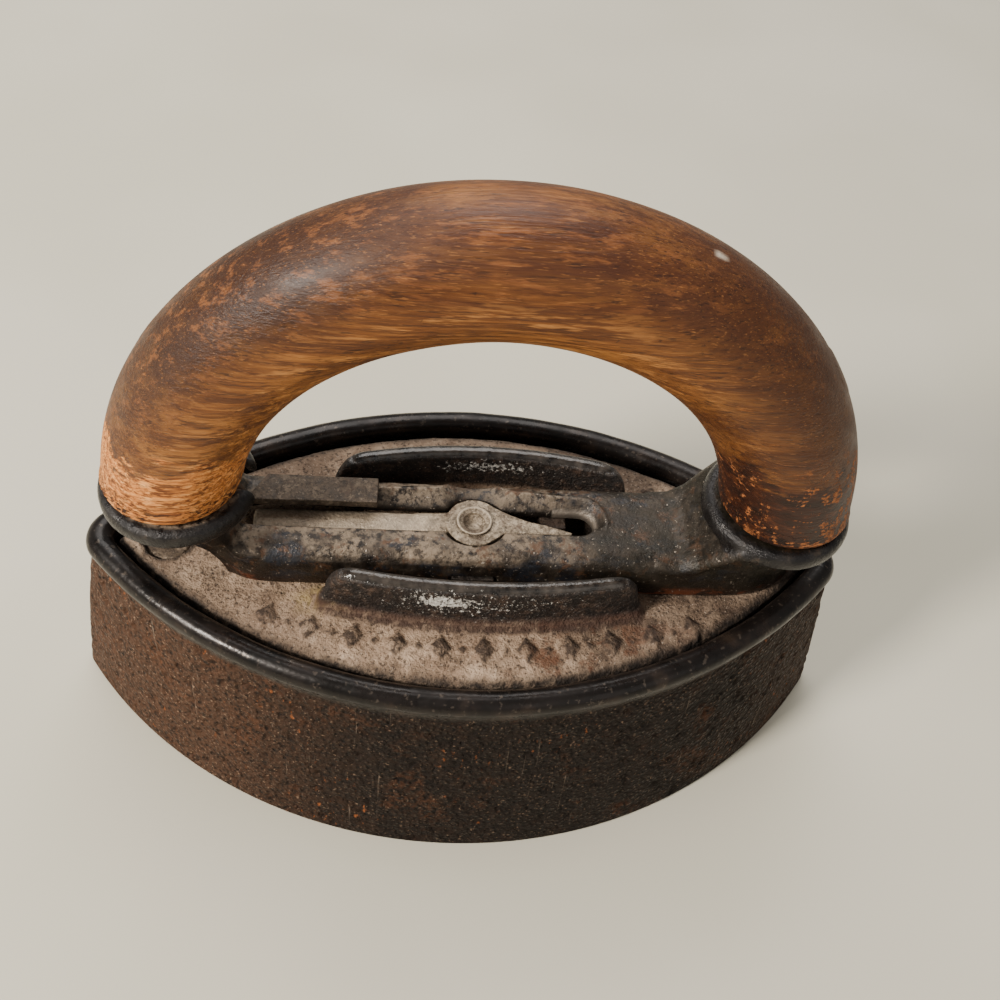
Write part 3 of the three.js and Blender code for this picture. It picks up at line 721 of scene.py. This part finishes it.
# ---------- cast deck with ribs and its ornament ----------
def lozenge(x, y, angle, length, width, height):
    """A raised four-pointed boss with softly hollow sides."""
    ca, sa = math.cos(angle), math.sin(angle)
    outline = []
    for t in np.linspace(0, 2 * math.pi, 24, endpoint=False):
        c, q = math.cos(t), math.sin(t)
        u = math.copysign(abs(c) ** LOZENGE_POWER, c) * length / 2
        v = math.copysign(abs(q) ** LOZENGE_POWER, q) * width / 2
        outline.append((u * ca - v * sa, u * sa + v * ca))
    profile = ((1.0, -0.6), (1.0, 0.1), (0.82, 0.55 * height), (0.45, 0.9 * height), (0.15, height))
    return loft([[(x + k * u, y + k * v, DECK_Z + z) for u, v in outline] for k, z in profile])


def pellet(x, y, radius, height):
    """A raised round dot."""
    turns = np.linspace(0, 2 * math.pi, 12, endpoint=False)
    rings = []
    for t in np.radians([-60, -30, 0, 30, 60]):
        across, z = radius * math.cos(t), DECK_Z - 0.1 + height * math.sin(t)
        rings.append([(x + across * math.cos(a), y + across * math.sin(a), z) for a in turns])
    return loft(rings)


def ornament():
    """A plain band of bosses and pellets along the front of the deck, and two bosses at the back right."""
    shapes = []
    for k, t in enumerate(np.linspace(-1, 1, BAND_COUNT)):
        lean = math.pi / 2 + math.atan(BAND_LEAN * t)
        shapes.append(lozenge(BAND_X + BAND_REACH * t, BAND_Y + BAND_BOW * t * t, lean, 6.4, 4.6, 0.95))
        if k:
            m = t - 1 / (BAND_COUNT - 1)
            shapes.append(pellet(BAND_X + BAND_REACH * m, BAND_Y - 0.1 + BAND_BOW * m * m, 0.75, 0.8))
    for x, y in ((36.5, 15.6), (43.0, 12.4)):
        shapes.append(lozenge(x, y, 0.9, 5.2, 4.0, 0.9))
    return shapes


def rib_fillet(side):
    """The soft foot where a rib runs into the deck."""
    section = ((-2.2, -0.6), (-1.8, 0.4), (-1.5, 1.2), (-1.2, 2.8), (1.2, 3.4), (1.75, 2.2), (2.1, 1.3),
               (2.8, 0.6), (3.8, 0.15), (5.0, -0.6))
    rings = []
    for t in np.linspace(-1, 1, 48):
        x = RIB_X + (RIB_HALF + 1.6) * t
        u = (x - RIB_X) / RIB_HALF
        y = RIB_Y + RIB_BOW[side] * (1 - u * u)
        past = max(0, abs(t) - 0.9) / 0.1
        k = 0.3 + 0.7 * math.sqrt(max(0, 1 - past ** 2))
        rings.append([(x, side * (y + w * (0.7 + 0.3 * k)), DECK_Z + (h * k if h > 0 else h))
                      for w, h in section])
    return loft(rings)


def build_deck():
    obj = remeshed("top_plate", "cast_deck", 0.36, 3, ornament() + [rib_fillet(1), rib_fillet(-1)])
    co, n = coords(obj), normals(obj)
    x, y, z = co.T
    top = z > DECK_Z - 1.6
    side = np.where(y > 0, 1, -1)
    u = (x - RIB_X) / RIB_HALF
    off = side * y - RIB_Y - np.where(side > 0, RIB_BOW[1], RIB_BOW[-1]) * (1 - u * u)
    on_rib = (np.abs(off) < 2.4) & (np.abs(u) < 1.06)
    rib = smooth((z - DECK_Z - 1.2) / 1.6) * on_rib
    lip = smooth((z - RIB_TOP + 1.5) / 0.9) * (n[:, 2] > -0.3) * on_rib
    height = z - DECK_Z
    push = (0.14 * fractal(co, 7, 3, 31) + 0.12 * fractal(co, 1.5, 2, 33)) * (1 - 0.75 * lip)
    set_coords(obj, co + n * np.where(top, push, 0)[:, None])
    fit_in_box(obj, "top_plate")
    a, b, r = PLATE
    big = ((a - r) ** 2 + b * b - r * r) / (2 * (b - r))
    inner = big - np.hypot(x, np.abs(y) + big - b)
    well = np.abs(np.hypot(np.abs(x) - SCREW_X, y) - WELL_R)
    # painted shade mask: the deck's edge, the rings round the screw wells, and everything below the deck top
    dark = np.maximum(1 - smooth((inner - 0.3) / 2.2), 0.9 * np.exp(-(well / 0.7) ** 2))
    mark(obj, "edge", np.where(top, dark, 1.0))
    mark(obj, "rib", rib)
    foot = np.exp(-((off - 1.4) / 2.0) ** 2) * smooth((1.12 - np.abs(u)) / 0.1)
    mark(obj, "foot", foot * (height < 4))
    mark(obj, "lip", lip)
    mark(obj, "relief", smooth((height - 0.08) / 0.35) * (1 - on_rib) * (inner > 3))
    # painted shade mask: the strip of deck under the handle frame
    under_frame_shade = smooth((9.3 - np.abs(y - FRAME_Y)) / 4.0) * smooth((40 - np.abs(x)) / 16)
    mark(obj, "under_frame_shade", under_frame_shade * (height < 6))
    # darker towards the right of the deck
    mark(obj, "right_part", smooth((x - 8) / 20) * 0.95)
    rusty = np.exp(-((x - 20) / 15) ** 2) * smooth((-y - 12) / 6)
    mark(obj, "rusty", np.clip(rusty * 1.1 + 0.12, 0, 1))
    mark(obj, "yellow", np.exp(-(((x + 27) / 5) ** 2 + ((y + 12.5) / 2.6) ** 2)))
    front = np.exp(-(((x + 6) / 5.5) ** 2 + ((z - 50.3) / 2.0) ** 2)) * (y < -12) * (n[:, 1] < -0.2)
    speckled = np.exp(-(((x - 2) / 20) ** 2 + ((z - 49.5) / 4) ** 2)) * (y < -12) * (n[:, 1] < -0.2) * 0.5
    back = np.exp(-(((x - 3) / 11) ** 2 + ((z - 50.6) / 1.8) ** 2)) * (y > 10) * (n[:, 1] < -0.2)
    mark(obj, "chalk", front + speckled + back)
    install(obj, MAT_DECK, "iron", "deck_casting", "top_plate")


# ---------- handle frame ----------
def frame_top(x):
    """Height of the frame's sheet, which climbs to a pad at each end."""
    climb = smooth((-x - 42.5) / 6) if x < 0 else smooth((x - 38) / 11)
    return FRAME_CREST + (PAD_TOP - FRAME_CREST) * float(climb)


def pad_flare(end, side):
    """Widens the frame into the round pad, along one edge."""
    rings = []
    for x, w in PAD_FLARE[end]:
        top = frame_top(x) - 0.05
        shift = FRAME_Y * (1 - (w - 9.6) / 3.4)
        section = ((6.6, -1.5), (6.6, 0.0), (w - 2.6, 0.0), (w - 1.3, -0.3), (w - 0.4, -1.0), (w, -1.9),
                   (w - 0.2, -2.8), (w - 1.2, -3.4), (8.2, -3.6))
        rings.append([(x, side * y + shift, top + z) for y, z in section])
    return loft(rings)


def build_frame():
    flares = [pad_flare(end, side) for end in (-1, 1) for side in (-1, 1)]
    obj = remeshed("handle_frame", "pressed_frame", 0.32, 7, flares)
    co, n = coords(obj), normals(obj)
    push = 0.14 * fractal(co, 12, 2, 41) + 0.05 * fractal(co, 3.0, 2, 43)
    co = co + n * push[:, None]
    # the sheet rolls down towards the back of the slot, with a soft ridge where it starts
    x, y, z = co.T
    end_r = (SLOT_BACK - SLOT_FRONT) / 2
    far = 99.0
    straight = np.where((x > -24) & (x < SLOT_RIGHT - end_r), y - SLOT_BACK, far)
    bulge = np.hypot(x - PIVOT[0], y - PIVOT[1]) - SLOT_BULGE
    past_end = x > SLOT_RIGHT - end_r
    tip = np.where(past_end, np.hypot(x - SLOT_RIGHT + end_r, y - SLOT_BACK + end_r) - end_r, far)
    d = np.minimum(np.minimum(straight, bulge), tip)
    width = 3.0 + 1.3 * np.exp(-((x + 1) / 7) ** 2) - 0.9 * smooth((x - 8) / 12)
    where = smooth((y + 1.2) / 2.5) * smooth((x + 23) / 3) * (z > 48.5)
    share = np.clip(1 - d / width, 0, 1.1)
    co[:, 2] -= 2.0 * share ** 1.2 * where
    co[:, 2] += 0.34 * np.exp(-((d - width) / 0.6) ** 2) * where * (z > 51)
    neck = np.exp(-((x + 46.5) / 4.0) ** 2) * smooth((57.5 - z) / 4)
    co[:, 1] -= 0.20 * (y - FRAME_Y) * neck * smooth((np.abs(y - FRAME_Y) - 6) / 2)
    set_coords(obj, co)
    fit_in_box(obj, "handle_frame")
    x, y, z = co.T
    n = normals(obj)
    mark(obj, "dusty", smooth((n[:, 2] - 0.3) / 0.5) * (1 - 0.85 * smooth((x - 14) / 12)))
    # mask for the painted shade over the right part of the frame
    mark(obj, "right", smooth((x - 16) / 12))
    mark(obj, "low", (1 - smooth((z - 44.4) / 2.6)) * (np.abs(n[:, 2]) < 0.9))
    # painted shade mask on the slope into the slot
    mark(obj, "slot_shade", np.clip(share, 0, 1) * where)
    # painted highlight mask along the right end of the slot's edge
    mark(obj, "edge", np.exp(-((d - 0.25) / 0.35) ** 2) * (x > 15) * (z > 49) * where * 0.8)
    reach = np.minimum(np.hypot(x - PAD_X[-1], y), np.hypot(x - PAD_X[1], y))
    ring = smooth((reach - PAD_R + 2.4) / 0.8) * smooth((PAD_R + 0.8 - reach) / 0.5)
    mark(obj, "pad", ring * smooth((z - 58.2) / 0.6))
    install(obj, MAT_FRAME, "handle", "pressed_frame", "handle_frame")


# ---------- wood bow grip ----------
def grip_line(t):
    w = np.stack([(1 - t) ** 3, 3 * t * (1 - t) ** 2, 3 * t * t * (1 - t), t ** 3], 1)
    return w @ np.array(GRIP)


def grip_direction(t):
    w = np.stack([(1 - t) ** 2, 2 * t * (1 - t), t * t], 1)
    p = np.array(GRIP)
    d = w @ (p[1:] - p[:-1])
    return d / np.hypot(d[:, 0], d[:, 1])[:, None]


def grip_ring(side, t, radius, level=None):
    """Ring across the bow at t, from 0 at the foot to 1 at the top; it turns level towards the foot."""
    a = np.linspace(0, 2 * math.pi, GRIP_COUNT, endpoint=False)
    (cx, cz), (tx, tz) = grip_line(np.array([t]))[0], grip_direction(np.array([t]))[0]
    out = math.atan2(-tx * float(smooth(t / 0.22)), tz)
    across = radius * np.cos(a)
    z = (cz if level is None else level) + across * math.sin(out)
    return np.column_stack([GRIP_X + side * (cx + across * math.cos(out)), radius * np.sin(a), z])


def grip_arm(side):
    """Rings from the end of the screw hole, over the foot and up to the top of the bow."""
    a = np.linspace(0, 2 * math.pi, GRIP_COUNT, endpoint=False)
    rings = []
    for z in GRIP_BORE_Z:
        x = PAD_X[side] + side * GRIP_BORE_R * np.cos(a)
        rings.append(np.column_stack([x, GRIP_BORE_R * np.sin(a), np.full(GRIP_COUNT, z)]))
    for share in (0.45, 0.7, 0.86):
        rings.append(grip_ring(side, 0, GRIP_R_FOOT * share, GRIP_FOOT_Z))
    for drop, rise in GRIP_FOOT_ROUND:
        rings.append(grip_ring(side, 0, GRIP_R_FOOT - drop, GRIP_FOOT_Z + rise))
    for t in np.linspace(0.03, 1, 84):
        rings.append(grip_ring(side, t, GRIP_R_FOOT + (GRIP_R_TOP - GRIP_R_FOOT) * (1 - (1 - t) ** 2)))
    return rings


def build_grip():
    obj = mesh_piece("bow_grip", *skin(grip_arm(-1) + grip_arm(1)[::-1][1:]))
    outward(obj)
    co, n = coords(obj), normals(obj)
    foot = 1 - smooth((co[:, 2] - GRIP_FOOT_Z - 1) / 7)
    outer = co[:, 2] > GRIP_FOOT_Z + 0.3
    push = 0.14 * fractal(co, 18, 2, 51) - 0.06
    splits = np.clip(fractal(co, (9, 0.9, 0.9), 3, 57) - 0.30, 0, 1)
    left_foot = foot * (co[:, 0] < 0)
    push = push - 1.3 * splits * left_foot - 0.25 * splits * foot
    hole = np.hypot(co[:, 0] - np.where(co[:, 0] < 0, PAD_X[-1], PAD_X[1]), co[:, 1]) < GRIP_BORE_R + 0.2
    set_coords(obj, co + n * np.where(outer & ~hole, push, 0)[:, None])
    fit_in_box(obj, "wood_grip")
    x, y, z = co.T
    left, right = smooth((-x - 20) / 25), smooth((x - 20) / 25)
    facing = smooth((0.4 - n[:, 1]) / 0.9)
    mark(obj, "bare_left", (1 - smooth((z - GRIP_FOOT_Z - 1) / 28)) * left * (0.55 + 0.45 * facing) * 1.05)
    mark(obj, "bare_right", (1 - smooth((z - GRIP_FOOT_Z - 4) / 26)) * right)
    mark(obj, "flaked", right * smooth((x - 52) / 12) + right * (1 - smooth((z - GRIP_FOOT_Z) / 6)))
    mark(obj, "foot", 1 - smooth((z - GRIP_FOOT_Z) / 8.0))
    mark(obj, "top_side", smooth((n[:, 2] + 0.1) / 0.7))
    light = smooth((0.45 - n[:, 2]) / 0.7) * smooth((0.4 - n[:, 1]) / 0.6)
    mark(obj, "light_side", light * (1 - 0.6 * right))
    mark(obj, "right", smooth((x - 8) / 34))
    mark(obj, "left", smooth((-x - 2) / 30))
    nick = np.sqrt((x - 29.6) ** 2 + (y + 1.0) ** 2 + (z - 117.3) ** 2)
    mark(obj, "nick", smooth((1.25 - nick) / 0.5))
    shade_smooth(obj)
    install(obj, MAT_WOOD, "handle", "varnished_wood", "wood_grip")


# ---------- latch, guide plate and the small hardware ----------
def build_small(node, name, body, slot, material, voxel, rounds, layers=()):
    obj = remeshed(node, name, voxel, rounds)
    # painted light: the lever's tail is made lighter, though it lies in the slot's shade
    lit_tail = 0.55 * smooth((-coords(obj)[:, 0] - 5) / 6)
    if layers:
        roughen(obj, layers)
    fit_in_box(obj, node)
    mark(obj, "edge", lit_tail * (node == "latch_lever"))
    install(obj, material, body, slot, node)


def build_rivet():
    """Tubular rivet with a dished head."""
    top = LEVER_TOP + 0.3
    tail = ((3.1, 44.5), (3.4, 44.7), (3.4, 45.4), (3.3, 45.5), (2.05, 45.55), (2.0, 45.7))
    head = ((2.0, -0.1), (2.05, 0.0), (3.2, 0.0), (3.36, 0.06), (3.38, 0.2), (3.25, 0.32), (3.05, 0.33),
            (2.8, 0.15), (2.3, -0.4), (1.6, -1.1), (1.0, -1.5), (0.5, -1.62))
    profile = tail + tuple((r, top + z) for r, z in head)
    a = np.linspace(0, 2 * math.pi, 72, endpoint=False)
    rings = [np.column_stack([PIVOT[0] + r * np.cos(a), PIVOT[1] + r * np.sin(a), np.full(len(a), z)])
             for r, z in profile]
    obj = mesh_piece("latch_rivet", *skin(rings))
    outward(obj)
    roughen(obj, [(0.05, 2, 2, 69)])
    fit_in_box(obj, "pivot_rivet")
    shade_smooth(obj)
    mark(obj, "edge", smooth((coords(obj)[:, 2] - top - 0.18) / 0.15))
    install(obj, MAT_LEVER, "handle", "latch_steel", "pivot_rivet")


def build_hardware():
    build_small("latch_lever", "latch", "lever", "lever_steel", MAT_LEVER, 0.2, 9,
                [(0.09, 5, 2, 61), (0.05, 1.2, 2, 63)])
    build_small("guide_plate", "guide_strip", "handle", "latch_steel", MAT_GUIDE, 0.2, 3,
                [(0.08, 6, 2, 65), (0.03, 1.2, 2, 67)])
    build_rivet()
    for k, node in enumerate(("guide_rivet_outer", "guide_rivet_inner")):
        build_small(node, f"guide_pin_{k + 1}", "handle", "latch_steel", MAT_GUIDE, 0.14, 2)
    for side in ("left", "right"):
        build_small(f"top_plate_screw_{side}", f"deck_screw_{side}", "iron", "deck_screw", MAT_SCREW, 0.22, 3,
                    [(0.04, 1.5, 2, 71)])
        build_small(f"grip_screw_{side}", f"bow_screw_{side}", "handle", "screw_steel", MAT_INNER, 0.25, 2)
        build_small(f"screw_washer_{side}", f"bow_washer_{side}", "handle", "screw_steel", MAT_INNER, 0.2, 2)
    build_small("catch_lug", "catch_hook", "iron", "catch", MAT_CATCH, 0.2, 3, [(0.05, 2, 2, 73)])
    build_small("pivot_bridge", "latch_bridge", "handle", "inner_steel", MAT_INNER, 0.2, 2)
    build_small("pivot_washer", "latch_washer", "lever", "inner_steel", MAT_INNER, 0.14, 1)
    filler = NODES["insulating_filler"]
    filler.data.materials.clear()
    filler.data.materials.append(MAT_PLASTER)


# ---------- floor, light and camera ----------
def build_stage():
    far = 9000
    corners = [(-far, -far, 0), (far, -far, 0), (far, far, 0), (-far, far, 0)]
    floor = mesh_piece("floor", corners, [(0, 1, 2, 3)])
    p = Paint("pale_floor")
    tone = p.ramp(p.noise(120, 2), (0.4, tint(196, 190, 172)), (0.6, tint(202, 196, 179)))
    floor.data.materials.append(p.finish(tone, 0.85))

    def lamp(name, place, aim, size, power, color):
        light = bpy.data.lights.new(name, "AREA")
        light.shape = "DISK"
        light.size = size
        light.energy = power
        light.color = color
        obj = bpy.data.objects.new(name, light)
        bpy.context.scene.collection.objects.link(obj)
        obj.location = place
        obj.rotation_euler = (Vector(aim) - Vector(place)).to_track_quat("-Z", "Y").to_euler()

    lamp("key", (-0.66, -0.36, 0.62), (0, 0, 0.05), 0.2, 14.5, (1.0, 0.94, 0.85))
    lamp("sky", (-0.05, 0.45, 0.9), (0, 0, 0.05), 0.8, 9, (1.0, 0.98, 0.95))
    lamp("fill", (0.5, -0.75, 0.5), (0, 0, 0.05), 0.8, 1.2, (1.0, 0.97, 0.92))
    world = bpy.data.worlds.new("studio")
    world.use_nodes = True
    world.node_tree.nodes["Background"].inputs[0].default_value = (1.0, 0.98, 0.94, 1)
    world.node_tree.nodes["Background"].inputs[1].default_value = 0.34
    bpy.context.scene.world = world


def build_camera():
    azimuth, elevation, roll = (math.radians(v) for v in (-8.25, 51.15, 8.76))
    distance, target, focal = 0.2317, Vector((0.0074, 0.0232, 0.030)), 1062.6
    back = Vector((math.sin(azimuth) * math.cos(elevation), -math.cos(azimuth) * math.cos(elevation),
                   math.sin(elevation)))
    right = (-back).cross(Vector((0, 0, 1))).normalized()
    up = right.cross(-back)
    across = right * math.cos(roll) + up * math.sin(roll)
    above = -right * math.sin(roll) + up * math.cos(roll)
    data = bpy.data.cameras.new("photo_view")
    data.sensor_width = 36
    data.lens = 36 * focal / 1000
    data.clip_start = 0.01
    data.clip_end = 10
    cam = bpy.data.objects.new("photo_view", data)
    bpy.context.scene.collection.objects.link(cam)
    turn = Matrix((across, above, back)).transposed().to_4x4()
    cam.matrix_world = Matrix.Translation(target + back * distance) @ turn
    bpy.context.scene.camera = cam


build_sole()
build_deck()
build_frame()
build_grip()
build_hardware()
build_stage()
build_camera()
